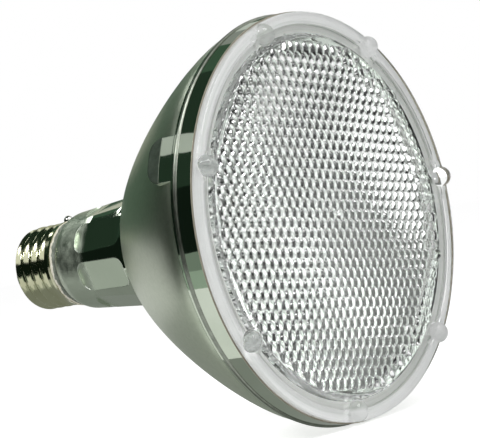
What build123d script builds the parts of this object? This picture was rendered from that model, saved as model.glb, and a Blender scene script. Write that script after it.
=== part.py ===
from build123d import *
import math
import os

# Reflector lamp with a screw cap. Lengths in millimetres, angles in degrees.
# Pieces are drawn upright, contact tip at height zero and lens on top, then turned to face the front.

# Screw cap
contact_radius = 4.7
contact_height = 1.2
contact_edge = 0.4
insulator_tip_radius = 6.2
insulator_height = 3.8
insulator_depth = 3.4
shell_wall = 0.4
shell_length = 17.6
shell_end_radius = 11.6
shell_taper = 2.2
thread_crest_radius = 13.4
thread_root_radius = 12.3
thread_pitch = 3.629
collar_radius = 13.55
collar_length = 2.6
rim_flare = 0.35
cap_clearance = 0.05

# Pressed glass reflector, with its neck and rim
stub_radius = 10.4
stub_wall = 1.7
stub_length = 9.4
neck_wall = 2.6
neck_foot_radius = 13.4
neck_bottom_radius = 15.6
neck_top_radius = 18.2
neck_length = 38.6
neck_flare = 7.0
shoulder_gap = 2.0
shoulder_height = 3.2
bowl_wall = 3.0
bowl_height = 54.8
bowl_rim_radius = 60.0
bowl_neck_angle = 88.0
bowl_neck_pull = 12.5
bowl_rim_angle = 1.0
bowl_rim_pull = 8.8
rim_stand = 0.7
rim_height = 8.2
rim_step_height = 0.7
bead_radius = 0.5
bead_height = 2.2
tab_width = 13.6
tab_drop = 8.2
tab_corner = 4.4
tab_inset = 0.15
tab_turn = 156.5

# Flat panels round the neck
panel_count = 8
panel_width = 9.8
panel_length = 20.4
panel_corner = 3.2
panel_depth = 0.75
panel_lift = 6.4
panel_turn = -72.5

# Pressed glass lens
lens_radius = 60.4
flange_height = 2.3
flange_width = 3.5
flange_round = 0.9
spigot_depth = 1.0
spigot_clearance = 0.3
spigot_width = 2.6
lens_wall = 3.2
lens_rise = 2.0
lenslet_pitch = 3.33
lenslet_height = 0.85
lenslet_margin = 3.6
lens_recess = 0.5
lenslet_root = 0.4
lens_turn = -7.5
lug_count = 7
lug_width = 6.2
lug_height = 3.4
lug_length = 6.6

# Burner and its jacket
jacket_radius = 9.0
jacket_wall = 1.2
jacket_corner = 2.6
jacket_below_arc = 36.0
jacket_above_arc = 30.0
pinch_width = 14.6
pinch_thickness = 3.6
pinch_length = 11.0
pinch_corner = 0.8
foil_width = 2.4
foil_length = 6.0
foil_thickness = 0.08
foil_spacing = 7.6
foil_margin = 2.4
arc_body_radius = 4.6
arc_body_length = 13.0
arc_body_round = 2.4
arc_wall = 0.8
capillary_radius = 1.4
capillary_length = 9.0
electrode_radius = 0.45
electrode_gap = 7.0
electrode_stub = 2.6
frit_radius = 1.15
frit_height = 1.4
frame_wire_radius = 0.4
frame_wire_bend = 1.2
frame_wire_offset = 6.6
getter_length = 5.0
getter_width = 1.6
getter_thickness = 0.5

# Wiring and cement in the cap
puck_height = 4.0
lead_radius = 0.3
lead_bend = 0.7
lead_drop = 1.6
lead_turn = 96.0
sleeve_wall = 0.3
solder_radius = 1.5
wire_clearance = 0.03
cement_depth = 5.0
cement_bead = 1.7

# Heights that follow from the sizes above
shell_bottom = contact_height + insulator_height
shell_top = shell_bottom + shell_length
thread_bottom = shell_bottom + shell_taper
thread_top = shell_top - collar_length
stub_bottom = shell_top - stub_length
neck_bottom = shell_top
neck_top = neck_bottom + neck_length
flare_top = neck_bottom + neck_flare
bore_radius = stub_radius - stub_wall
rim_radius = bowl_rim_radius + rim_stand
rim_bottom = neck_top + bowl_height
rim_top = rim_bottom + rim_height


def bowl_point(share, depth):
    """Radius and height on the bowl section, from neck to rim, a depth inside its outer face."""
    neck_turn = math.radians(bowl_neck_angle)
    rim_turn = math.radians(bowl_rim_angle)
    radii = (neck_top_radius, neck_top_radius + bowl_neck_pull * math.sin(neck_turn),
             bowl_rim_radius - bowl_rim_pull * math.sin(rim_turn), bowl_rim_radius)
    heights = (neck_top, neck_top + bowl_neck_pull * math.cos(neck_turn),
               rim_bottom - bowl_rim_pull * math.cos(rim_turn), rim_bottom)
    rest = 1 - share
    weights = (rest**3, 3 * rest**2 * share, 3 * rest * share**2, share**3)
    slopes = (-rest**2, rest**2 - 2 * rest * share, 2 * rest * share - share**2, share**2)
    radius = sum(w * r for w, r in zip(weights, radii))
    height = sum(w * h for w, h in zip(weights, heights))
    out = sum(w * r for w, r in zip(slopes, radii))
    up = sum(w * h for w, h in zip(slopes, heights))
    length = math.hypot(out, up)
    return radius - depth * up / length, height + depth * out / length


bowl_mouth_radius, mouth_height = bowl_point(1, bowl_wall)
flange_front = rim_top + flange_height
recess_radius = lens_radius - flange_width
recess_floor = flange_front - lens_recess
field_radius = recess_radius - lenslet_margin
dome_radius = (field_radius**2 + lens_rise**2) / (2 * lens_rise)
puck_bottom = neck_bottom + shoulder_height - puck_height
pinch_bottom = puck_bottom
jacket_bottom = pinch_bottom + pinch_length
arc_height = jacket_bottom + jacket_below_arc
jacket_top = arc_height + jacket_above_arc
foil_bottom = pinch_bottom + foil_margin
foil_top = foil_bottom + foil_length


def turned(profile):
    """Solid of revolution about the lamp axis from a face in the XZ plane."""
    return revolve(profile, Axis.Z)


def section(*points):
    """Face in the XZ plane from radius and height pairs, where a repeated pair counts once."""
    corners = [(radius, 0, height) for radius, height in dict.fromkeys(points)]
    return Face(Wire(Polyline(*corners, close=True).edges()))


def bowl_curve(depth):
    """Smooth curve along the bowl, a depth inside its outer face."""
    stations = 20
    points = [bowl_point(index / stations, depth) for index in range(stations + 1)]
    return Spline(*[(radius, 0, height) for radius, height in points])


def wire_along(points, bend, radius):
    """Round wire along straight runs joined by tangent bends."""
    path = FilletPolyline(*points, radius=bend)
    start = path % 0
    profile = Plane(origin=points[0], z_dir=start) * Circle(radius)
    return sweep(profile, path=path)


# Screw cap pieces


def thread_core(radius, low, high):
    """Rounded screw thread: a flat disc carried up a fine helix about the lamp axis."""
    throw = (thread_crest_radius - thread_root_radius) / 2
    helix = Helix(thread_pitch, high - low, throw)
    disc = Pos(throw, 0, 0) * Circle(radius)
    start = 360 * (low - shell_bottom) / thread_pitch
    return Pos(0, 0, low) * Rot(0, 0, start) * sweep(disc, path=helix, normal=(0, 0, 1))


def shell_form(wall, low, high):
    """Outside of the screw shell, drawn in by a wall and reaching from low to high."""
    end = shell_end_radius - wall
    middle = (thread_crest_radius + thread_root_radius) / 2 - wall
    collar = collar_radius - wall
    flare_bottom = shell_top - collar_length / 2
    run_in = turned(section((0, low), (end, low), (end, shell_bottom), (collar, thread_bottom),
                            (collar, shell_top), (0, shell_top)))
    rolled = turned(section((0, thread_top + wall), (collar, thread_top + wall), (collar, flare_bottom),
                            (collar + rim_flare, shell_top), (collar + rim_flare, high), (0, high)))
    return (thread_core(middle, low, thread_top + 2 * wall) & run_in) + rolled


def make_screw_shell():
    return shell_form(0, shell_bottom, shell_top) - shell_form(shell_wall, shell_bottom - 1, shell_top + 1)


def make_cap_insulator():
    seat = shell_end_radius - shell_wall - cap_clearance
    top = shell_bottom + insulator_depth
    glass = turned(section((0, contact_height), (insulator_tip_radius, contact_height),
                           (seat, shell_bottom), (seat, top), (0, top)))
    wire_hole = Pos(0, 0, contact_height) * Cylinder(
        lead_radius + wire_clearance, insulator_height + insulator_depth,
        align=(Align.CENTER, Align.CENTER, Align.MIN))
    return glass - wire_hole


def make_centre_contact():
    disc = Cylinder(contact_radius, contact_height, align=(Align.CENTER, Align.CENTER, Align.MIN))
    disc = fillet(disc.edges().sort_by(Axis.Z)[0], contact_edge)
    wire_hole = Cylinder(lead_radius + wire_clearance, 3 * contact_height)
    return disc - wire_hole


def side_wire_angle():
    return Rot(0, 0, lead_turn)


def side_wire_radius():
    """Distance of the side wire from the axis where it runs up between glass and shell."""
    return stub_radius + wire_clearance + lead_radius


def make_cap_cement():
    inside = stub_radius
    bottom = shell_top - cement_depth
    step = thread_top + shell_wall + cap_clearance
    thread_side = thread_root_radius - shell_wall - cap_clearance
    outside = collar_radius - shell_wall - cap_clearance
    ring = turned(section((inside, bottom), (thread_side, bottom), (thread_side, step), (outside, step),
                          (outside, shell_top - collar_length / 2), (outside + rim_flare, shell_top),
                          (outside, shell_top + cement_bead), (inside, shell_top + cement_bead)))
    return ring - side_wire_angle() * side_wire(lead_radius + wire_clearance)


def make_side_solder():
    """Solder drop on the rim of the shell, where the side wire ends."""
    drop = Pos(collar_radius + rim_flare, 0, shell_top) * Sphere(solder_radius)
    room = turned(section((0, shell_top - collar_length), (collar_radius, shell_top - collar_length),
                          (collar_radius, shell_top - collar_length / 2), (collar_radius + rim_flare, shell_top),
                          (0, shell_top)))
    inner_room = Pos(0, 0, shell_top) * Cylinder(collar_radius + rim_flare - shell_wall, 4 * solder_radius)
    return side_wire_angle() * (drop - room - inner_room - side_wire(lead_radius + wire_clearance))


# Reflector


def make_reflector():
    bore_top = neck_bottom + shoulder_height
    foot_height = neck_bottom + shoulder_gap
    neck_inside = neck_bottom_radius - neck_wall
    throat_radius, throat_height = bowl_point(0, bowl_wall)
    back = bowl_curve(0)
    mirror = bowl_curve(bowl_wall)
    lower = Polyline(
        (throat_radius, 0, throat_height), (neck_top_radius - neck_wall, 0, throat_height),
        (neck_inside, 0, bore_top + shoulder_height),
        (bore_radius, 0, bore_top), (bore_radius, 0, stub_bottom), (stub_radius, 0, stub_bottom),
        (stub_radius, 0, foot_height), (neck_foot_radius, 0, foot_height))
    flare = Spline((neck_foot_radius, 0, foot_height), (neck_bottom_radius, 0, flare_top),
                   tangents=[(1, 0, 1), (neck_top_radius - neck_bottom_radius, 0, neck_top - flare_top)])
    side = Line((neck_bottom_radius, 0, flare_top), (neck_top_radius, 0, neck_top))
    upper = Polyline(
        (bowl_rim_radius, 0, rim_bottom), (rim_radius, 0, rim_bottom + rim_step_height),
        (rim_radius, 0, rim_top), (bowl_mouth_radius, 0, rim_top), (bowl_mouth_radius, 0, mouth_height))
    edges = lower.edges() + flare.edges() + side.edges() + back.edges() + upper.edges() + mirror.edges()
    body = turned(Face(Wire(edges)))
    bead = turned(Pos(rim_radius, 0, rim_bottom + bead_height) * Rot(90, 0, 0) * Circle(bead_radius))
    return body + make_rim_tab() + bead - neck_panels()


def make_rim_tab():
    """Rounded tab that carries the rim band a little way down the bowl."""
    height = 2 * tab_drop
    pad = extrude(RectangleRounded(tab_width, height, tab_corner), rim_radius)
    pad = Plane(origin=(0, 0, rim_bottom), x_dir=(0, 1, 0), z_dir=(1, 0, 0)) * pad
    middle = bowl_curve(bowl_wall / 2)
    low, high = middle @ 0, middle @ 1
    lid = Polyline(high, (high.X, 0, rim_top), (0, 0, rim_top), (0, 0, low.Z), low)
    hollow = turned(Face(Wire(middle.edges() + lid.edges())))
    band = Pos(0, 0, rim_bottom + rim_height / 2 - tab_drop) * Cylinder(rim_radius - tab_inset, rim_height + 2 * tab_drop)
    below = Pos(0, 0, rim_top - height) * Cylinder(rim_radius, height, align=(Align.CENTER, Align.CENTER, Align.MIN))
    return Rot(0, 0, tab_turn) * (pad & band & below - hollow)


def neck_panels():
    """Shallow flat pockets, one after another round the tapering neck."""
    taper = math.atan2(neck_top_radius - neck_bottom_radius, neck_top - flare_top)
    middle = flare_top + panel_lift + panel_length / 2
    share = (middle - flare_top) / (neck_top - flare_top)
    radius = neck_bottom_radius + (neck_top_radius - neck_bottom_radius) * share
    pad = extrude(RectangleRounded(panel_width, panel_length, panel_corner), 4 * panel_depth)
    face = Plane(origin=(radius - panel_depth, 0, middle), x_dir=(0, 1, 0),
                 z_dir=(math.cos(taper), 0, -math.sin(taper)))
    pad = face * pad
    turns = [panel_turn + 360 / panel_count * index for index in range(panel_count)]
    return [Rot(0, 0, turn) * pad for turn in turns]


# Lens


def dome_height(distance, drop=0.0):
    """Height of the lens front, or of a face a drop below it, at a distance from the axis."""
    return recess_floor + lens_rise - drop - distance**2 / (2 * dome_radius)


def make_lens_body():
    spigot = bowl_mouth_radius - spigot_clearance
    spigot_bottom = rim_top - spigot_depth
    edge = Polyline((spigot - spigot_width, 0, spigot_bottom), (spigot, 0, spigot_bottom),
                    (spigot, 0, rim_top), (lens_radius, 0, rim_top), (lens_radius, 0, flange_front - flange_round))
    bevel = flange_round * (1 - math.sqrt(0.5))
    corner = ThreePointArc((lens_radius, 0, flange_front - flange_round),
                           (lens_radius - bevel, 0, flange_front - bevel),
                           (lens_radius - flange_round, 0, flange_front))
    land = Polyline((lens_radius - flange_round, 0, flange_front), (recess_radius, 0, flange_front),
                    (recess_radius, 0, recess_floor), (0, 0, recess_floor))
    back_rim = spigot - spigot_width
    inner_edge = dome_height(back_rim, lens_wall)
    back = ThreePointArc((0, 0, dome_height(0, lens_wall)), (back_rim / 2, 0, dome_height(back_rim / 2, lens_wall)),
                         (back_rim, 0, inner_edge))
    axis_line = Line((0, 0, recess_floor), (0, 0, dome_height(0, lens_wall)))
    close = Line((back_rim, 0, inner_edge), (back_rim, 0, spigot_bottom))
    outline = edge.edges() + corner.edges() + land.edges() + axis_line.edges() + back.edges() + close.edges()
    return turned(Face(Wire(outline)))


def lenslet_cells():
    """Centres of the hexagonal lenslets that lie whole inside the field."""
    reach = int(field_radius / lenslet_pitch) + 2
    row = lenslet_pitch * math.sqrt(3) / 2
    centres = []
    for line in range(-reach, reach + 1):
        for step in range(-reach, reach + 1):
            across = (step + (line % 2) / 2) * lenslet_pitch
            along = line * row
            if math.hypot(across, along) < field_radius - lenslet_pitch / 2:
                centres.append((across, along))
    return centres


def make_lenslets():
    """Field of raised hexagonal lenslets on the dome, as one closed faceted solid."""
    corner_reach = lenslet_pitch / math.sqrt(3)
    floor_height = recess_floor - lenslet_root
    faces = []
    walls = {}
    for across, along in lenslet_cells():
        tip = (across, along, dome_height(math.hypot(across, along)) + lenslet_height)
        ring = []
        for index in range(6):
            angle = math.radians(30 + 60 * index)
            x = round(across + corner_reach * math.cos(angle), 4)
            y = round(along + corner_reach * math.sin(angle), 4)
            ring.append((x, y))
        for index in range(6):
            start, end = ring[index], ring[(index + 1) % 6]
            low = (*start, dome_height(math.hypot(*start)))
            high = (*end, dome_height(math.hypot(*end)))
            faces.append(Face(Wire.make_polygon([low, high, tip])))
            if (end, start) in walls:
                del walls[(end, start)]
            else:
                walls[(start, end)] = (low, high)
    following = {start: end for start, end in walls}
    for (start, end), (low, high) in walls.items():
        corners = [(*start, floor_height), (*end, floor_height), high, low]
        faces.append(Face(Wire.make_polygon(corners)))
    first = next(iter(following))
    loop = [first]
    while following[loop[-1]] != first:
        loop.append(following[loop[-1]])
    faces.append(Face(Wire.make_polygon([(*point, floor_height) for point in loop])))
    return Rot(0, 0, lens_turn) * Solid(Shell(faces))


def make_lug():
    """Round-ended radial boss that rises from the flange."""
    half = lug_width / 2
    middle = flange_front + lug_height - half
    inner = lens_radius - lug_length + half
    outer = lens_radius - half
    crown = ThreePointArc((inner - half, 0, middle),
                          (inner - half * math.sqrt(0.5), 0, middle + half * math.sqrt(0.5)), (inner, 0, middle + half))
    top = Line((inner, 0, middle + half), (outer, 0, middle + half))
    nose = ThreePointArc((outer, 0, middle + half),
                         (outer + half * math.sqrt(0.5), 0, middle + half * math.sqrt(0.5)), (outer + half, 0, middle))
    base = Line((outer + half, 0, middle), (inner - half, 0, middle))
    boss = revolve(Face(Wire(crown.edges() + top.edges() + nose.edges() + base.edges())),
                   Axis((0, 0, middle), (1, 0, 0)))
    upper = Pos(0, 0, flange_front - flange_height / 2) * Cylinder(
        2 * lens_radius, 2 * lug_width, align=(Align.CENTER, Align.CENTER, Align.MIN))
    return boss & upper


def make_lens():
    lug = make_lug()
    turns = [lens_turn - 90 + 360 / lug_count * index for index in range(lug_count)]
    lugs = [Rot(0, 0, turn) * lug for turn in turns]
    return make_lens_body() + lugs + make_lenslets()


# Burner


def jacket_outline(radius, wall):
    """Half section of the jacket bulb, drawn in by a wall."""
    reach = radius - wall
    low = jacket_bottom + wall
    high = jacket_top - wall
    belly = Line((reach, 0, low + jacket_corner), (reach, 0, high - reach))
    crown = ThreePointArc((reach, 0, high - reach),
                          (reach * math.sin(math.pi / 4), 0, high - reach + reach * math.cos(math.pi / 4)),
                          (0, 0, high))
    axis_line = Line((0, 0, high), (0, 0, low))
    base = Polyline((0, 0, low), (reach - jacket_corner, 0, low), (reach, 0, low + jacket_corner))
    return Face(Wire(belly.edges() + crown.edges() + axis_line.edges() + base.edges()))


def foil_block(grow):
    return Box(foil_width + 2 * grow, foil_thickness + 2 * grow, foil_length + 2 * grow)


def foil_place(side):
    return Pos(side * foil_spacing / 2, 0, (foil_bottom + foil_top) / 2)


def make_burner_jacket():
    bulb = turned(jacket_outline(jacket_radius, 0))
    pinch = extrude(RectangleRounded(pinch_width, pinch_thickness, pinch_corner),
                    pinch_length + jacket_wall)
    pinch = Pos(0, 0, pinch_bottom) * pinch
    cavity = turned(jacket_outline(jacket_radius, jacket_wall))
    jacket = bulb + pinch - cavity
    for side in (-1, 1):
        bore = Pos(side * foil_spacing / 2, 0, pinch_bottom) * Cylinder(
            frame_wire_radius + wire_clearance, jacket_bottom + jacket_wall - pinch_bottom,
            align=(Align.CENTER, Align.CENTER, Align.MIN))
        jacket = jacket - bore - foil_place(side) * foil_block(wire_clearance)
    return jacket


def make_foil(side):
    return foil_place(side) * foil_block(0)


def arc_end(side):
    """Height of the outer end of a capillary."""
    return arc_height + side * (arc_body_length / 2 + capillary_length)


def make_arc_tube():
    body = Cylinder(arc_body_radius, arc_body_length)
    body = fillet(body.edges().filter_by(GeomType.CIRCLE), arc_body_round)
    tubes = Cylinder(capillary_radius, arc_body_length + 2 * capillary_length)
    chamber = Cylinder(arc_body_radius - arc_wall, arc_body_length - 2 * arc_wall)
    chamber = fillet(chamber.edges().filter_by(GeomType.CIRCLE), arc_body_round - arc_wall)
    bore = Cylinder(electrode_radius + wire_clearance, arc_body_length + 2 * capillary_length)
    return Pos(0, 0, arc_height) * (body + tubes - chamber - bore)


def make_electrode(side):
    inner = arc_height + side * electrode_gap / 2
    outer = arc_end(side) + side * (frit_height + electrode_stub)
    rod = Cylinder(electrode_radius, abs(outer - inner))
    return Pos(0, 0, (inner + outer) / 2) * rod


def make_frit_seal(side):
    ring = Cylinder(frit_radius, frit_height) - Cylinder(electrode_radius, 2 * frit_height)
    return Pos(0, 0, arc_end(side) + side * frit_height / 2) * ring


def frame_points(side, top, reach):
    """Runs of a frame wire from its foil to an electrode."""
    foot = side * foil_spacing / 2
    stop = side * (electrode_radius + frame_wire_radius)
    return [(foot, 0, foil_top), (foot, 0, reach), (side * frame_wire_offset, 0, reach + 2 * frame_wire_bend),
            (side * frame_wire_offset, 0, top), (stop, 0, top)]


def make_long_frame_wire():
    top = arc_end(1) + frit_height + electrode_stub / 2
    low = jacket_bottom + jacket_wall + frame_wire_bend
    points = frame_points(1, top, low)
    return wire_along(points, frame_wire_bend, frame_wire_radius)


def make_short_frame_wire():
    top = arc_end(-1) - frit_height - electrode_stub / 2
    foot = -foil_spacing / 2
    points = [(foot, 0, foil_top), (foot, 0, top), (-electrode_radius - frame_wire_radius, 0, top)]
    return wire_along(points, frame_wire_bend, frame_wire_radius)


def make_getter():
    strip = Box(getter_thickness, getter_width, getter_length)
    return Pos(frame_wire_offset + frame_wire_radius + getter_thickness / 2, 0, arc_height) * strip


# Cement, wiring and sleeve below the burner


def make_burner_cement():
    puck = Cylinder(bore_radius, puck_height, align=(Align.CENTER, Align.CENTER, Align.MIN))
    slot = extrude(RectangleRounded(pinch_width + 2 * wire_clearance, pinch_thickness + 2 * wire_clearance,
                                    pinch_corner), puck_height)
    return Pos(0, 0, puck_bottom) * (puck - slot)


def make_centre_lead():
    foot = -foil_spacing / 2
    turn_height = pinch_bottom - lead_drop
    end = contact_edge
    points = [(foot, 0, foil_bottom), (foot, 0, turn_height), (0, 0, turn_height - 2 * lead_bend), (0, 0, end)]
    return wire_along(points, lead_bend, lead_radius)


def make_lead_sleeve():
    top = pinch_bottom - lead_drop - 4 * lead_bend
    bottom = shell_bottom + insulator_depth
    tube = Cylinder(lead_radius + wire_clearance + sleeve_wall, top - bottom)
    tube = tube - Cylinder(lead_radius + wire_clearance, 2 * (top - bottom))
    return Pos(0, 0, (top + bottom) / 2) * tube


def side_wire(radius):
    """Wire from the right foil, round the end of the glass and over the rim of the shell."""
    foot = foil_spacing / 2
    reach = side_wire_radius()
    low = stub_bottom - wire_clearance - lead_radius - lead_bend
    over = shell_top + 2 * lead_radius
    end = collar_radius + rim_flare
    points = [(foot, 0, foil_bottom), (foot, 0, low), (reach, 0, low), (reach, 0, over), (end, 0, over)]
    return wire_along(points, lead_bend, radius)


def make_lamp():
    """All the pieces, drawn upright, by name."""
    burner = {
        "burner_jacket": make_burner_jacket(),
        "left_foil": make_foil(-1),
        "right_foil": make_foil(1),
        "long_frame_wire": make_long_frame_wire(),
        "short_frame_wire": make_short_frame_wire(),
        "arc_tube": make_arc_tube(),
        "rear_electrode": make_electrode(-1),
        "front_electrode": make_electrode(1),
        "rear_frit_seal": make_frit_seal(-1),
        "front_frit_seal": make_frit_seal(1),
        "getter": make_getter(),
        "burner_cement": make_burner_cement(),
        "centre_lead": make_centre_lead(),
        "lead_sleeve": make_lead_sleeve(),
        "side_lead": side_wire(lead_radius),
    }
    lamp = {name: side_wire_angle() * piece for name, piece in burner.items()}
    lamp["lens"] = make_lens()
    lamp["reflector"] = make_reflector()
    lamp["screw_shell"] = make_screw_shell()
    lamp["cap_insulator"] = make_cap_insulator()
    lamp["centre_contact"] = make_centre_contact()
    lamp["cap_cement"] = make_cap_cement()
    lamp["side_solder"] = make_side_solder()
    return lamp


os.makedirs("parts", exist_ok=True)
for node, piece in make_lamp().items():
    export_step(Rot(90, 0, 0) * piece, f"parts/{node}.step")
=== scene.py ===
import math
import bmesh
import bpy
from mathutils import Matrix, Vector


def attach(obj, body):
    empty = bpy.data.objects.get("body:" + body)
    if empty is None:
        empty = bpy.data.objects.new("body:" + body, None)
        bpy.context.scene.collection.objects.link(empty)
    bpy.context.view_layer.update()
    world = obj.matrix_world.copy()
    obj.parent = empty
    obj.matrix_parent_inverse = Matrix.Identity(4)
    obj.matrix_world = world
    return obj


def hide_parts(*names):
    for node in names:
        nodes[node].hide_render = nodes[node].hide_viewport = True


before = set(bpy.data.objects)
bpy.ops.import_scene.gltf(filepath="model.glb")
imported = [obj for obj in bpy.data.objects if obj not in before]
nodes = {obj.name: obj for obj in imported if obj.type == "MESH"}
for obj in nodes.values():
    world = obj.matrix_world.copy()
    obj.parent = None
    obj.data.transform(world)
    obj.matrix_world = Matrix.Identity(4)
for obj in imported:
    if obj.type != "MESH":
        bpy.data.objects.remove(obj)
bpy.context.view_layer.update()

MM = 0.001

# Sizes shared with the part's source, in millimetres, heights along the lamp axis from the contact tip
SHELL_TOP = 22.6
STUB_RADIUS = 10.4
NECK_TOP = 61.2
BOWL_RIM_RADIUS = 60.0
RIDGE = 118.2
RIM_TOP = 124.2
SPIGOT_DEPTH = 1.0
RECESS_RADIUS = 56.9
RECESS_FLOOR = 126.0
FIELD_RADIUS = 53.3
LENS_RISE = 2.0
DOME_RADIUS = (FIELD_RADIUS ** 2 + LENS_RISE ** 2) / (2 * LENS_RISE)
PITCH = 3.33
LENS_TURN = math.radians(-7.5)

# Heights where the finish of the reflector changes
WORN_NECK_TOP = 39.5
GLOSSY_TAB_FOOT = 112.0

BEAD_RADIUS = 2.3
BEAD_RINGS = (0.28, 0.55, 0.8, 1.0)
BEAD_SIDES = 18
NEIGHBOURS = ((0, 2), (1, 1), (1, -1), (0, -2), (-1, -1), (-1, 1))

GLUE_INNER = 54.2
GLUE_STEP = 56.6
GLUE_OUTER = 60.3
GLUE_SKIN = 0.06
FLANGE_LIFT = 0.03

# Points closer than the first are welded, and heights closer than the second count as the same, in metres
WELD = 2e-6
SAME_HEIGHT = 1e-6

# Camera that fits the photo: places and sensor in millimetres, focal length and photo in pixels
CAMERA_PLACE = (-520.27, -515.07, 4.26)
CAMERA_AIM = (-11.51, -100.4, 4.01)
CAMERA_ROLL = math.radians(-10.76)
FOCAL_PIXELS = 2228.8
PHOTO_WIDTH = 480.0
SENSOR_WIDTH = 36.0

# Surroundings, in metres
LAMP_MIDDLE = Vector((0.0, -0.075, 0.0))
FLOOR_LEVEL = -0.0613
FLOOR_REACH = 4.0
FLOOR_CARD_LIFT = 0.0005
WALL_FOOT = -0.0605
WALL_TOP = 0.075
WALL_RADIUS = 0.158
WALL_MIDDLE = -0.035
NECK_CARD_SIDE = 0.035
CARD_DISTANCE = 1.6
CARD_STEPS = 24
SOFTBOX_DISTANCE = 1.2

# Tints of the surroundings that show as reflections
PALE = (0.95, 1.0, 0.94)
CREAM = (1.0, 1.0, 0.84)
PALE_GREEN = (0.82, 1.0, 0.84)
GREEN = (0.55, 1.0, 0.66)


def at(x, y, height):
    """Point of the upright lamp, in millimetres, turned into the row frame in metres."""
    return Vector((x * MM, -height * MM, y * MM))


def new_object(name, data):
    thing = bpy.data.objects.new(name, data)
    bpy.context.collection.objects.link(thing)
    return thing


# Materials


class Shader:
    """Small helper that wires one node material."""

    def __init__(self, name):
        self.material = bpy.data.materials.new(name)
        self.material.use_nodes = True
        self.tree = self.material.node_tree
        self.shader = self.tree.nodes["Principled BSDF"]
        self.coords = self.add("ShaderNodeTexCoord").outputs["Object"]

    def add(self, kind, **settings):
        node = self.tree.nodes.new(kind)
        for key, value in settings.items():
            setattr(node, key, value)
        return node

    def link(self, output, socket):
        self.tree.links.new(output, socket)

    def set(self, **values):
        """Constants on the main shader, with _ for a blank in the socket's name."""
        for key, value in values.items():
            self.shader.inputs[key.replace("_", " ")].default_value = value
        return self

    # Patterns

    def noise(self, scale, detail=3.0, rough=0.55):
        """Value of a noise pattern at a scale per metre."""
        node = self.add("ShaderNodeTexNoise")
        node.inputs["Scale"].default_value = scale
        node.inputs["Detail"].default_value = detail
        node.inputs["Roughness"].default_value = rough
        self.link(self.coords, node.inputs["Vector"])
        return node.outputs["Fac"]

    def rings(self, radius, scale):
        """Noise in fine circles about the lamp axis, at a scale per metre."""
        node = self.add("ShaderNodeTexNoise", noise_dimensions="1D")
        node.inputs["Scale"].default_value = scale
        node.inputs["Detail"].default_value = 4.0
        self.link(radius, node.inputs["W"])
        return node.outputs["Fac"]

    def uneven(self, scale, low, high):
        """Value that drifts between low and high."""
        return self.span(self.noise(scale), 0.3, 0.7, low, high)

    def cloudy(self, scale, dark, light, **pattern):
        """Colour that drifts between a dark and a light tone."""
        return self.ramp(self.noise(scale, **pattern), (0.3, dark), (0.7, light))

    # Values and masks

    def span(self, value, low, high, start, end):
        """Value mapped from low..high to start..end."""
        node = self.add("ShaderNodeMapRange")
        for key, number in (("From Min", low), ("From Max", high), ("To Min", start), ("To Max", end)):
            node.inputs[key].default_value = number
        self.link(value, node.inputs["Value"])
        return node.outputs["Result"]

    def scaled(self, mask, start, end):
        """Mask from 0 to 1 mapped to start..end."""
        return self.span(mask, 0.0, 1.0, start, end)

    def over(self, value, edge, half):
        """Mask that rises from 0 to 1 across an edge, in millimetres."""
        return self.span(value, (edge - half) * MM, (edge + half) * MM, 0.0, 1.0)

    def under(self, value, edge, half):
        """Mask that falls from 1 to 0 across an edge, in millimetres."""
        return self.span(value, (edge - half) * MM, (edge + half) * MM, 1.0, 0.0)

    def fold(self, operation, values):
        """Values taken together, one after the other, by one operation."""
        result = values[0]
        for value in values[1:]:
            node = self.add("ShaderNodeMath", operation=operation)
            self.link(result, node.inputs[0])
            self.link(value, node.inputs[1])
            result = node.outputs[0]
        return result

    def times(self, *values):
        return self.fold("MULTIPLY", values)

    def most(self, *values):
        return self.fold("MAXIMUM", values)

    # Place on the lamp

    def place(self, axis):
        split = self.add("ShaderNodeSeparateXYZ")
        self.link(self.coords, split.inputs["Vector"])
        return split.outputs[axis]

    def height(self):
        """Height along the lamp axis from the contact tip, in metres."""
        return self.span(self.place("Y"), -1.0, 1.0, 1.0, -1.0)

    def from_axis(self):
        """Vector from the lamp axis to the surface, in metres."""
        flat = self.add("ShaderNodeCombineXYZ")
        for axis in "XZ":
            self.link(self.place(axis), flat.inputs[axis])
        return flat.outputs["Vector"]

    def radius(self):
        """Distance from the lamp axis, in metres."""
        length = self.add("ShaderNodeVectorMath", operation="LENGTH")
        self.link(self.from_axis(), length.inputs[0])
        return length.outputs["Value"]

    def outward(self):
        """How far the surface faces away from the lamp axis, in metres."""
        dot = self.add("ShaderNodeVectorMath", operation="DOT_PRODUCT")
        self.link(self.from_axis(), dot.inputs[0])
        self.link(self.add("ShaderNodeNewGeometry").outputs["Normal"], dot.inputs[1])
        return dot.outputs["Value"]

    # Colours

    def ramp(self, value, *stops):
        """Colour ramp from position and colour pairs."""
        node = self.add("ShaderNodeValToRGB")
        ramp = node.color_ramp
        while len(ramp.elements) < len(stops):
            ramp.elements.new(0.5)
        for element, (position, colour) in zip(ramp.elements, stops):
            element.position = position
            element.color = (*colour, 1.0)
        self.link(value, node.inputs["Fac"])
        return node.outputs["Color"]

    def blend(self, factor, first, second):
        """The first colour where the factor is 0, the second where it is 1."""
        node = self.add("ShaderNodeMix", data_type="RGBA")
        self.link(factor, node.inputs["Factor"])
        self.link(first, node.inputs["A"])
        self.link(second, node.inputs["B"])
        return node.outputs["Result"]

    def tint(self, first, second):
        """One colour multiplied by another."""
        node = self.add("ShaderNodeMix", data_type="RGBA", blend_type="MULTIPLY")
        node.inputs["Factor"].default_value = 1.0
        self.link(first, node.inputs["A"])
        self.link(second, node.inputs["B"])
        return node.outputs["Result"]

    # Ends of the chain

    def colour(self, output):
        self.link(output, self.shader.inputs["Base Color"])

    def roughness(self, output):
        self.link(output, self.shader.inputs["Roughness"])

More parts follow.
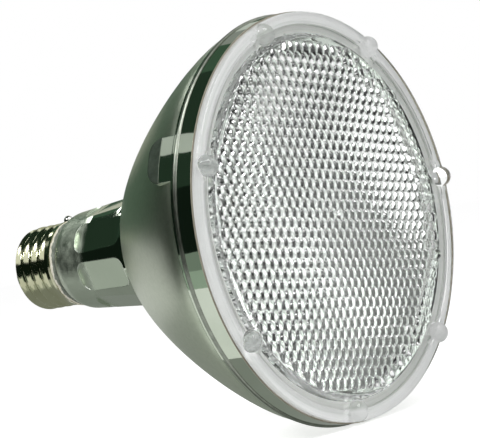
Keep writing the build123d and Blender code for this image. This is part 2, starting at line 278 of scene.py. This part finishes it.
    def bump(self, value, strength, distance, rounding=0.0):
        """Relief on the surface, and edges softened by a rounding in metres."""
        node = self.add("ShaderNodeBump")
        node.inputs["Strength"].default_value = strength
        node.inputs["Distance"].default_value = distance
        self.link(value, node.inputs["Height"])
        if rounding:
            soft = self.add("ShaderNodeBevel", samples=6)
            soft.inputs["Radius"].default_value = rounding
            self.link(soft.outputs["Normal"], node.inputs["Normal"])
        self.link(node.outputs["Normal"], self.shader.inputs["Normal"])

    def emission(self, strength):
        light = self.add("ShaderNodeEmission")
        light.inputs["Strength"].default_value = strength
        return light

    def glow(self, shader, strength):
        """The shader with a white glow added to it."""
        both = self.add("ShaderNodeAddShader")
        self.link(shader, both.inputs[0])
        self.link(self.emission(strength).outputs[0], both.inputs[1])
        return both.outputs[0]

    def surface(self, shader):
        self.link(shader, self.tree.nodes["Material Output"].inputs["Surface"])


def metal(name, dark, light, rough):
    """Bare metal with cloudy tone and fine grain."""
    s = Shader(name).set(Metallic=1.0)
    s.colour(s.cloudy(150.0, dark, light, detail=4.0))
    s.roughness(s.uneven(300.0, *rough))
    s.bump(s.noise(3600.0), strength=0.06, distance=0.0002)
    return s.material


def matt(name, dark, light, rough=0.8, grain=700.0, depth=0.4):
    """Dull mineral surface, such as cement or ceramic."""
    s = Shader(name).set(Roughness=rough)
    s.colour(s.cloudy(grain, dark, light))
    s.bump(s.noise(grain * 2.5), strength=depth, distance=0.0003)
    return s.material


def clear_glass(name, dark, light, ior, ripple):
    """Clear glass with the faint ripple of a pressed surface."""
    s = Shader(name).set(Transmission_Weight=1.0, IOR=ior)
    s.colour(s.cloudy(40.0, dark, light))
    s.roughness(s.uneven(500.0, 0.0, 0.02))
    s.bump(s.noise(150.0), strength=ripple, distance=0.0004)
    return s.material


def dark_glass():
    """Opaque glass, almost black."""
    s = Shader("dark_glass").set(IOR=1.5)
    s.colour(s.cloudy(300.0, (0.012, 0.012, 0.014), (0.03, 0.03, 0.034)))
    s.roughness(s.uneven(400.0, 0.08, 0.2))
    return s.material


def reflector_glass():
    """Mirror-coated glass: satin outside the bowl, glossy at neck and rim, a bright mirror inside."""
    s = Shader("reflector_glass")
    height = s.height()
    radius = s.radius()

    # Where each finish lies
    outside = s.over(s.outward(), 0.0, half=0.2)
    above_neck = s.over(height, NECK_TOP, half=0.3)
    off_rim = s.under(radius, BOWL_RIM_RADIUS + 0.15, half=0.05)
    on_rim = s.over(radius, BOWL_RIM_RADIUS + 0.15, half=0.05)
    below_gloss = s.under(height, GLOSSY_TAB_FOOT, half=0.2)
    satin = s.times(above_neck, s.most(off_rim, below_gloss), outside)
    over_ridge_foot = s.over(height, RIDGE - 0.8, half=0.1)
    under_ridge_top = s.under(height, RIDGE + 0.8, half=0.1)
    ridge = s.times(over_ridge_foot, under_ridge_top, outside)
    tab_end = s.times(below_gloss, on_rim, above_neck)
    joint = s.over(height, RIM_TOP - 0.25, half=0.05)
    worn_neck = s.under(height, WORN_NECK_TOP, half=1.5)

    # Tones
    mirror = s.cloudy(60.0, (0.89, 0.91, 0.89), (0.93, 0.95, 0.93))
    gloss = s.cloudy(90.0, (0.62, 0.69, 0.57), (0.67, 0.74, 0.62))
    fine = s.noise(700.0, detail=6.0, rough=0.7)
    grain = s.ramp(fine, (0.25, (0.62, 0.69, 0.55)), (0.75, (0.74, 0.80, 0.66)))
    # The ridge band is given a darker tone than the bowl round it
    ridge_dark_tone = s.cloudy(500.0, (0.26, 0.28, 0.24), (0.36, 0.39, 0.33))
    # Painted shade: the lower end of the tab is coloured almost black, so that it reads as the dark bowl
    # beside it
    tab_painted_shade = s.cloudy(500.0, (0.07, 0.09, 0.07), (0.11, 0.14, 0.11))
    glue = s.cloudy(300.0, (0.30, 0.27, 0.20), (0.42, 0.38, 0.30))
    tone = s.blend(outside, mirror, gloss)
    for mask, finish in ((ridge, ridge_dark_tone), (satin, grain), (tab_end, tab_painted_shade), (joint, glue)):
        tone = s.blend(mask, tone, finish)
    s.colour(tone)
    s.link(s.scaled(joint, 1.0, 0.0), s.shader.inputs["Metallic"])

    # Roughness, and waves in the glass that are strong only on the worn neck
    dull = s.most(s.scaled(satin, 0.04, 0.35), s.scaled(ridge, 0.04, 0.3))
    worn = s.times(worn_neck, s.uneven(260.0, 0.30, 0.55))
    coarse = s.scaled(s.most(joint, tab_end), 0.0, 0.7)
    s.roughness(s.most(dull, worn, coarse))
    waves = s.times(s.scaled(worn_neck, 0.05, 1.0), s.noise(170.0, detail=1.0))
    s.bump(waves, strength=0.5, distance=0.0006, rounding=0.0004)
    return s.material


def joint_glue():
    """Pale glue behind the edge of the lens, drawn in fine circles, with lighter and darker rings across it
    that are painted highlights and painted shade for the lines that show in the flange glass.
    """
    s = Shader("joint_glue").set(Roughness=0.7)
    radius = s.radius()
    # Painted highlights and painted shade: light and dark rings by distance from the axis, set where the
    # flange glass shows light and dark lines
    painted_rings = s.ramp(
        s.span(radius, GLUE_INNER * MM, GLUE_OUTER * MM, 0.0, 1.0),
        (0.0, (0.88, 0.90, 0.87)),
        (0.36, (0.92, 0.93, 0.91)),
        (0.42, (0.62, 0.65, 0.61)),
        (0.50, (0.98, 0.98, 0.98)),
        (0.66, (0.86, 0.87, 0.86)),
        (0.76, (0.99, 0.99, 0.99)),
        (1.0, (0.98, 0.98, 0.98)),
    )
    streaks = s.ramp(s.rings(radius, 2200.0), (0.3, (0.93, 0.94, 0.93)), (0.5, (1.0, 1.0, 1.0)))
    s.colour(s.tint(painted_rings, streaks))
    s.bump(s.noise(900.0), strength=0.2, distance=0.0002)
    return s.material


def rim_cement():
    """Cream cement, with painted shade in grey beside the neck along an uneven line, where the cement meets
    the neck.
    """
    s = Shader("pale_cement").set(Roughness=0.8)
    wavering = s.fold("ADD", (s.height(), s.uneven(420.0, -0.0003, 0.0003)))
    # Painted shade: the cement turns grey beside the neck, along an uneven line
    painted_shade_band = s.over(wavering, SHELL_TOP + 1.0, half=0.1)
    cream = s.cloudy(700.0, (0.76, 0.73, 0.58), (0.90, 0.87, 0.76))
    neck_shade_grey = s.cloudy(500.0, (0.14, 0.16, 0.13), (0.30, 0.33, 0.28))
    s.colour(s.blend(painted_shade_band, cream, neck_shade_grey))
    s.bump(s.noise(1700.0), strength=0.4, distance=0.0003)
    return s.material


def smooth(mesh, crease):
    """Smooth shading, with edges left sharp past an angle in degrees."""
    mesh.shade_smooth()
    mesh.set_sharp_from_angle(angle=math.radians(crease))


# Lens with smooth lenslets in place of the faceted ones


def dome(distance):
    """Height of the lens front, without lenslets, at a distance from the axis."""
    return RECESS_FLOOR + LENS_RISE - distance ** 2 / (2 * DOME_RADIUS)


def lenslet_cells():
    """Centres of the lenslets by their line and half step in the hexagonal field."""
    reach = int(FIELD_RADIUS / PITCH) + 2
    row = PITCH * math.sqrt(3) / 2
    cells = {}
    for line in range(-reach, reach + 1):
        for step in range(-reach, reach + 1):
            across = (step + (line % 2) / 2) * PITCH
            along = line * row
            if math.hypot(across, along) < FIELD_RADIUS - PITCH / 2:
                cells[(line, 2 * step + line % 2)] = (across, along)
    return cells


def bead_reach(angle, sides):
    """Distance from a lenslet's centre to its crease with a neighbour, or to a round edge without one."""
    reach = PITCH / math.sqrt(3)
    for side in sides:
        lean = math.cos(angle - side)
        if lean > 0.5:
            reach = min(reach, PITCH / 2 / lean)
    return reach


def add_lenslets(bm):
    """Spherical lenslets that meet in creases."""
    valley = math.sqrt(BEAD_RADIUS ** 2 - PITCH ** 2 / 3)
    turn = Matrix.Rotation(LENS_TURN, 2)
    # A lenslet's corners lie 30 degrees off the ways to its neighbours
    angles = [math.radians(30 + 360 / BEAD_SIDES * index) for index in range(BEAD_SIDES)]
    cells = lenslet_cells()

    def vertex(centre, angle, reach):
        x = centre[0] + reach * math.cos(angle)
        y = centre[1] + reach * math.sin(angle)
        height = dome(math.hypot(x, y)) + math.sqrt(BEAD_RADIUS ** 2 - reach ** 2) - valley
        x, y = turn @ Vector((x, y))
        return bm.verts.new(at(x, y, height))

    for (line, step), centre in cells.items():
        sides = []
        for index, (up, over) in enumerate(NEIGHBOURS):
            if (line + up, step + over) in cells:
                sides.append(math.radians(60 * index))
        tip = vertex(centre, 0.0, 0.0)
        inner = None
        for share in BEAD_RINGS:
            ring = [vertex(centre, angle, share * bead_reach(angle, sides)) for angle in angles]
            for index in range(BEAD_SIDES):
                after = (index + 1) % BEAD_SIDES
                if inner is None:
                    bm.faces.new((tip, ring[index], ring[after]))
                else:
                    bm.faces.new((inner[index], ring[index], ring[after], inner[after]))
            inner = ring
    bmesh.ops.remove_doubles(bm, verts=bm.verts, dist=WELD)


def drop_edge(bm):
    """Walls from the open edge of the field down to the recess."""
    foot = {}
    for edge in [e for e in bm.edges if e.is_boundary]:
        a, b = edge.verts
        for v in (a, b):
            if v not in foot:
                foot[v] = bm.verts.new((v.co.x, -RECESS_FLOOR * MM, v.co.z))
        bm.faces.new((a, b, foot[b], foot[a]))


def strip_front(bm):
    """Takes the faceted lenslets and the flat ring round them off the lens."""
    height_slack = 0.005
    radius_slack = 0.02
    low = (RECESS_FLOOR - height_slack) * MM
    high = (RECESS_FLOOR + height_slack) * MM
    field = (FIELD_RADIUS + radius_slack) * MM
    recess = (RECESS_RADIUS + radius_slack) * MM
    old = []
    for face in bm.faces:
        reach = max(math.hypot(v.co.x, v.co.z) for v in face.verts)
        heights = [-v.co.y for v in face.verts]
        in_field = reach < field and min(heights) > low
        on_ring = reach < recess and min(heights) > low and max(heights) < high
        if in_field or on_ring:
            old.append(face)
    bmesh.ops.delete(bm, geom=old, context="FACES")


def lift_flange(bm):
    """Lifts the back of the flange a little off the rim, so that the two faces stay apart."""
    for v in bm.verts:
        if abs(-v.co.y - RIM_TOP * MM) < SAME_HEIGHT:
            v.co.y -= FLANGE_LIFT * MM


def make_lens():
    """The CAD lens with its facets taken off and smooth lenslets set in the same places."""
    field = bmesh.new()
    add_lenslets(field)
    drop_edge(field)
    whole = bmesh.new()
    whole.from_mesh(nodes["lens"].data)
    bmesh.ops.remove_doubles(whole, verts=whole.verts, dist=WELD)
    strip_front(whole)
    mesh = bpy.data.meshes.new("lens_front")
    field.to_mesh(mesh)
    whole.from_mesh(mesh)
    open_edges = [e for e in whole.edges if e.is_boundary]
    bmesh.ops.triangle_fill(whole, edges=open_edges, use_beauty=True, normal=(0.0, -1.0, 0.0))
    lift_flange(whole)
    bmesh.ops.recalc_face_normals(whole, faces=whole.faces)
    whole.to_mesh(mesh)
    lens = new_object("lens_front", mesh)
    smooth(mesh, crease=24)
    glass = clear_glass("lens_glass", (0.975, 0.99, 0.98), (0.985, 1.0, 0.99), ior=1.5, ripple=0.02)
    mesh.materials.append(glass)
    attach(lens, "root")
    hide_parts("lens")


# Rings of cement and glue


def make_ring(name, steps, profile_at, material):
    """Closed ring about the lamp axis from its section, in radius and height, at each angle."""
    bm = bmesh.new()
    loops = []
    for index in range(steps):
        angle = 2 * math.pi * index / steps
        section = [at(r * math.cos(angle), r * math.sin(angle), z) for r, z in profile_at(angle)]
        loops.append([bm.verts.new(point) for point in section])
    count = len(loops[0])
    for index in range(steps):
        here = loops[index]
        there = loops[(index + 1) % steps]
        for row in range(count):
            after = (row + 1) % count
            bm.faces.new((here[row], there[row], there[after], here[after]))
    bmesh.ops.recalc_face_normals(bm, faces=bm.faces)
    mesh = bpy.data.meshes.new(name)
    bm.to_mesh(mesh)
    ring = new_object(name, mesh)
    smooth(mesh, crease=40)
    mesh.materials.append(material)
    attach(ring, "root")
    return ring


def glue_section(angle):
    """Thin glue set in the back of the lens edge, under its flange and spigot, the same at every angle."""
    flange = RIM_TOP + GLUE_SKIN
    spigot = RIM_TOP - SPIGOT_DEPTH + GLUE_SKIN
    return [
        (GLUE_OUTER, flange),
        (GLUE_OUTER, flange + GLUE_SKIN),
        (GLUE_STEP, flange + GLUE_SKIN),
        (GLUE_STEP, spigot + GLUE_SKIN),
        (GLUE_INNER, spigot + GLUE_SKIN),
        (GLUE_INNER, spigot),
        (GLUE_STEP + GLUE_SKIN, spigot),
        (GLUE_STEP + GLUE_SKIN, flange),
    ]


def ragged(angle):
    """Uneven edge, between about -1 and 1, round the lamp."""
    long_waves = 0.40 * math.sin(5 * angle + 0.7) + 0.30 * math.sin(11 * angle + 2.1)
    short_waves = 0.25 * math.sin(23 * angle + 4.0) + 0.20 * math.sin(41 * angle + 1.3)
    return long_waves + short_waves


def cement_section(angle):
    """Cement that fills the shell's end and wells up unevenly between shell and neck."""
    lift = 0.3 * ragged(angle)
    bulge = 0.16 * ragged(2 * angle + 1.0)
    bore = STUB_RADIUS + 0.02
    plug = 11.8
    mouth = 13.3
    belly = 13.75
    foot = SHELL_TOP - 5.0
    top = SHELL_TOP + 1.9
    return [
        (bore, foot),
        (plug, foot),
        (plug, SHELL_TOP - 2.1),
        (mouth - 0.3, SHELL_TOP - 2.0),
        (mouth, SHELL_TOP - 0.2),
        (belly + bulge, SHELL_TOP + 0.05),
        (belly + 0.15 + bulge, SHELL_TOP + 0.45 + 0.3 * lift),
        (belly + 0.8 * bulge, SHELL_TOP + 1.1 + 0.6 * lift),
        (mouth, SHELL_TOP + 1.75 + lift),
        (mouth - 0.7, top),
        (bore, top),
    ]


def make_rings():
    cement = make_ring("cement_ring", 240, cement_section, rim_cement())
    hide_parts("cap_cement")
    make_ring("lens_glue", 160, glue_section, joint_glue())


# Finishes of the nodes


def paint(material, *names):
    for name in names:
        slots = nodes[name].data.materials
        slots.clear()
        slots.append(material)


def finish_reflector_and_cap():
    paint(reflector_glass(), "reflector")
    nickel = metal("nickel_plate", (0.55, 0.56, 0.37), (0.65, 0.66, 0.47), rough=(0.06, 0.12))
    paint(nickel, "screw_shell")
    tin = metal("contact_metal", (0.60, 0.56, 0.46), (0.78, 0.74, 0.64), rough=(0.25, 0.45))
    paint(tin, "centre_contact")
    solder = metal("solder", (0.70, 0.70, 0.67), (0.84, 0.84, 0.80), rough=(0.15, 0.3))
    paint(solder, "side_solder")
    paint(dark_glass(), "cap_insulator")


def finish_burner_and_leads():
    wire = metal("lead_wire", (0.48, 0.46, 0.43), (0.62, 0.60, 0.57), rough=(0.25, 0.4))
    paint(wire, "centre_lead", "side_lead", "long_frame_wire", "short_frame_wire")
    foil = metal("foil", (0.42, 0.42, 0.43), (0.56, 0.56, 0.58), rough=(0.3, 0.5))
    paint(foil, "left_foil", "right_foil", "rear_electrode", "front_electrode", "getter")
    sleeve = matt("woven_sleeve", (0.80, 0.77, 0.68), (0.92, 0.90, 0.84), grain=2500.0)
    paint(sleeve, "lead_sleeve")
    quartz = clear_glass("quartz", (0.97, 0.98, 0.98), (0.98, 0.99, 0.99), ior=1.46, ripple=0.0)
    paint(quartz, "burner_jacket")
    ceramic = matt("arc_ceramic", (0.84, 0.83, 0.79), (0.93, 0.92, 0.89), rough=0.5, grain=900.0, depth=0.1)
    paint(ceramic, "arc_tube", "rear_frit_seal", "front_frit_seal")
    puck = matt("burner_cement", (0.74, 0.70, 0.56), (0.88, 0.85, 0.74))
    paint(puck, "burner_cement")


# Camera at the photo's angle


def photo_camera():
    data = bpy.data.cameras.new("photo_camera")
    data.sensor_fit = "HORIZONTAL"
    data.sensor_width = SENSOR_WIDTH
    data.lens = FOCAL_PIXELS * SENSOR_WIDTH / PHOTO_WIDTH
    data.clip_start = 0.01
    camera = new_object("photo_camera", data)
    place = Vector(CAMERA_PLACE) * MM
    aim = Vector(CAMERA_AIM) * MM
    back = (place - aim).normalized()
    right = Vector((0, 0, 1)).cross(back).normalized()
    up = back.cross(right)
    turn = Matrix((right, up, back)).transposed() @ Matrix.Rotation(CAMERA_ROLL, 3, "Z")
    camera.matrix_world = Matrix.Translation(place) @ turn.to_4x4()
    bpy.context.scene.camera = camera


# Floor, lights and surroundings


def ray_kinds(tree, *kinds):
    """1 for rays of any of the kinds, else 0."""
    path = tree.nodes.new("ShaderNodeLightPath")
    result = path.outputs[kinds[0]]
    for kind in kinds[1:]:
        node = tree.nodes.new("ShaderNodeMath")
        node.operation = "MAXIMUM"
        tree.links.new(result, node.inputs[0])
        tree.links.new(path.outputs[kind], node.inputs[1])
        result = node.outputs[0]
    return result


def switch(tree, factor, shader, other):
    """The shader where the factor is 0, the other where it is 1."""
    mix = tree.nodes.new("ShaderNodeMixShader")
    tree.links.new(factor, mix.inputs["Fac"])
    tree.links.new(shader, mix.inputs[1])
    tree.links.new(other, mix.inputs[2])
    return mix.outputs[0]


def make_world():
    """White surroundings that light dull surfaces more softly than they show."""
    world = bpy.data.worlds.new("studio")
    bpy.context.scene.world = world
    world.use_nodes = True
    tree = world.node_tree
    soft = tree.nodes["Background"]
    white = tree.nodes.new("ShaderNodeBackground")
    for background, strength in ((soft, 0.35), (white, 1.0)):
        background.inputs["Color"].default_value = (1.0, 1.0, 1.0, 1.0)
        background.inputs["Strength"].default_value = strength
    seen = ray_kinds(tree, "Is Camera Ray", "Is Glossy Ray", "Is Transmission Ray")
    shown = switch(tree, seen, soft.outputs[0], white.outputs[0])
    tree.links.new(shown, tree.nodes["World Output"].inputs["Surface"])


def toward(azimuth, elevation, distance):
    """Point in a direction from the middle of the lamp; azimuth 0 is in front of the lens."""
    a = math.radians(azimuth)
    e = math.radians(elevation)
    way = Vector((math.sin(a) * math.cos(e), -math.cos(a) * math.cos(e), math.sin(e)))
    return LAMP_MIDDLE + way * distance


def make_floor():
    """Pale floor that shows white, with the shadow of the lamp left on it."""
    mesh = bpy.data.meshes.new("floor")
    corners = []
    for x, y in ((-1, -1), (1, -1), (1, 1), (-1, 1)):
        corners.append((x * FLOOR_REACH, y * FLOOR_REACH, FLOOR_LEVEL))
    mesh.from_pydata(corners, [], [(0, 1, 2, 3)])
    floor = new_object("floor", mesh)
    s = Shader("pale_floor").set(Roughness=0.9, Specular_IOR_Level=0.0)
    s.colour(s.cloudy(3.0, (0.80, 0.80, 0.80), (0.83, 0.83, 0.83)))
    plain = s.shader.outputs[0]
    shown = plain
    for kind, strength in (("Is Glossy Ray", 0.11), ("Is Transmission Ray", 1.0), ("Is Camera Ray", 0.7)):
        shown = switch(s.tree, ray_kinds(s.tree, kind), shown, s.glow(plain, strength))
    s.surface(shown)
    mesh.materials.append(s.material)


def far_card(azimuth, elevation):
    """Point of a card far from the lamp."""
    return toward(azimuth, elevation, CARD_DISTANCE)


def near_wall(azimuth, height):
    """Point of a round upright wall close to the lamp."""
    a = math.radians(azimuth)
    return Vector((WALL_RADIUS * math.sin(a), WALL_MIDDLE - WALL_RADIUS * math.cos(a), height))


def floor_place(across, along):
    """Point just above the floor."""
    return Vector((across, along, FLOOR_LEVEL + FLOOR_CARD_LIFT))


def beside_neck(along, height):
    """Point of a small upright card on the far side of the neck."""
    return Vector((NECK_CARD_SIDE, along, height))


def card(name, place, columns, rows, glow, tint=PALE, through_lens=False):
    """Card that shows in reflections and, if asked, through the lens; place gives its points."""
    mesh = bpy.data.meshes.new(name)
    points = []
    faces = []
    for row in range(CARD_STEPS + 1):
        second = rows[0] + (rows[1] - rows[0]) * row / CARD_STEPS
        for column in range(CARD_STEPS + 1):
            first = columns[0] + (columns[1] - columns[0]) * column / CARD_STEPS
            points.append(place(first, second))
    for row in range(CARD_STEPS):
        for column in range(CARD_STEPS):
            corner = row * (CARD_STEPS + 1) + column
            faces.append((corner, corner + 1, corner + CARD_STEPS + 2, corner + CARD_STEPS + 1))
    mesh.from_pydata(points, [], faces)
    sheet = new_object(name, mesh)
    s = Shader(name)
    light = s.emission(glow)
    dim = [0.94 * part for part in tint]
    s.link(s.cloudy(4.0, dim, tint), light.inputs["Color"])
    shown = light.outputs[0]
    if not through_lens:
        gap = s.add("ShaderNodeBsdfTransparent")
        shown = switch(s.tree, ray_kinds(s.tree, "Is Transmission Ray"), shown, gap.outputs[0])
    s.surface(shown)
    s.material.cycles.emission_sampling = "NONE"
    mesh.materials.append(s.material)
    sheet.visible_camera = False
    sheet.visible_diffuse = False
    sheet.visible_shadow = False


def make_near_cards():
    """Round wall at the lamp's side and back, and cards on the floor and at the neck."""
    card("near_wall", near_wall, (-160, -104), (WALL_FOOT, WALL_TOP), glow=0.012, tint=GREEN)
    card("high_wall", near_wall, (-104, -78), (-0.012, WALL_TOP), glow=0.012, tint=GREEN)
    card("low_wall", near_wall, (-104, -78), (-0.035, -0.012), glow=0.25, tint=PALE_GREEN)
    card("foot_wall", near_wall, (-104, -78), (WALL_FOOT, -0.035), glow=0.42, tint=PALE_GREEN)
    card("front_wall", near_wall, (-78, -25), (-0.022, WALL_TOP), glow=0.012, tint=GREEN)
    card("corner_wall", near_wall, (-178, -160), (0.0, WALL_TOP), glow=0.03, tint=GREEN)
    card("rear_wall", near_wall, (-215, -178), (0.008, WALL_TOP), glow=0.11, tint=GREEN)
    card("floor_card", floor_place, (0.0, 0.26), (-0.36, -0.14), glow=0.16, through_lens=True)
    # Painted shadow: in reflections, these two cards show the floor under and beside the lamp dimmer than
    # the lit floor, standing in for the lamp's shadow on it
    card("under_card", floor_place, (-0.06, 0.10), (-0.13, 0.10), glow=0.28)
    card("side_card", floor_place, (-0.10, -0.06), (-0.065, 0.10), glow=0.48)
    card("neck_card", beside_neck, (-0.022, 0.022), (0.034, 0.062), glow=0.55, tint=CREAM)


def make_far_cards():
    """Cards at the left, the back, the right and above, by azimuth and elevation."""
    card("left_card", far_card, (-195, -95), (5, 60), glow=0.04, tint=GREEN)
    card("back_card", far_card, (142, 165), (4, 60), glow=0.10, tint=GREEN)
    card("low_card", far_card, (118, 142), (4, 20), glow=0.10, tint=GREEN)
    card("pale_card", far_card, (100, 142), (20, 30), glow=0.60)
    card("upper_card", far_card, (100, 142), (30, 60), glow=0.30)
    card("top_card", far_card, (0, 360), (60, 90), glow=0.03, tint=GREEN)
    card("right_card", far_card, (15, 118), (0, 30), glow=0.16, through_lens=True)


def softbox(name, azimuth, elevation, width, height, watts):
    """Rectangular lamp that faces the middle of the object."""
    data = bpy.data.lights.new(name, "AREA")
    data.shape = "RECTANGLE"
    data.size = width
    data.size_y = height
    data.energy = watts
    lamp = new_object(name, data)
    lamp.location = toward(azimuth, elevation, SOFTBOX_DISTANCE)
    aim = LAMP_MIDDLE - lamp.location
    lamp.rotation_euler = aim.to_track_quat("-Z", "Y").to_euler()


def make_lamps():
    softbox("key_lamp", -110, 42, width=0.20, height=0.25, watts=4.0)
    softbox("strip_lamp", -152, 41, width=0.5, height=0.13, watts=0.10)
    softbox("back_lamp", 170, 45, width=0.16, height=0.16, watts=0.3)
    softbox("front_lamp", -20, 48, width=0.6, height=0.6, watts=6.0)


make_lens()
make_rings()
finish_reflector_and_cap()
finish_burner_and_leads()
photo_camera()
make_world()
make_floor()
make_near_cards()
make_far_cards()
make_lamps()

bpy.context.scene.view_settings.view_transform = "Standard"
